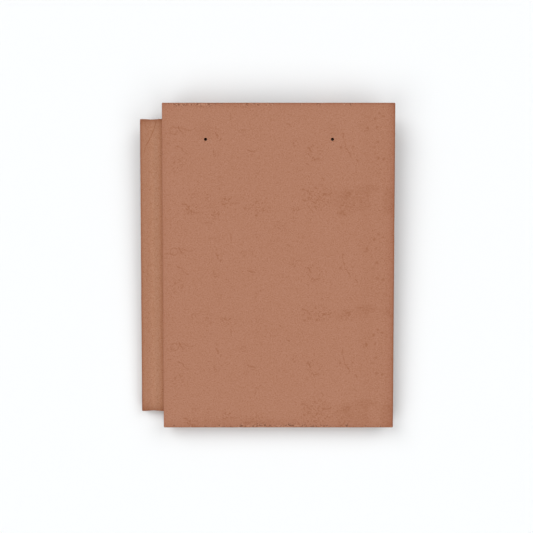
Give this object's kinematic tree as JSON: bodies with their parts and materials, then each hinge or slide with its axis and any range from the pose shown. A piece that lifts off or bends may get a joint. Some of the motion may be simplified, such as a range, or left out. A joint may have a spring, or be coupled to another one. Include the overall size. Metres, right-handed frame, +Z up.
{
  "type": "flat interlocking concrete roof tile",
  "caption": "Flat rectangular roof tile with a low lock strip along one side, a lapping edge along the other, nibs under its head and nail holes.",
  "frame": {"origin": "on the floor under the middle of the tile's box, as it lies on its nibs and tail edge", "axes": "+X across the tile towards its lapping right edge, +Y along it towards its head, +Z up"},
  "size_m": [0.329, 0.4206, 0.0433],
  "materials": {
    "concrete": "matt, through-coloured terracotta"
  },
  "bodies": {
    "root": {"roof_tile": "concrete"}
  },
  "joints": []
}
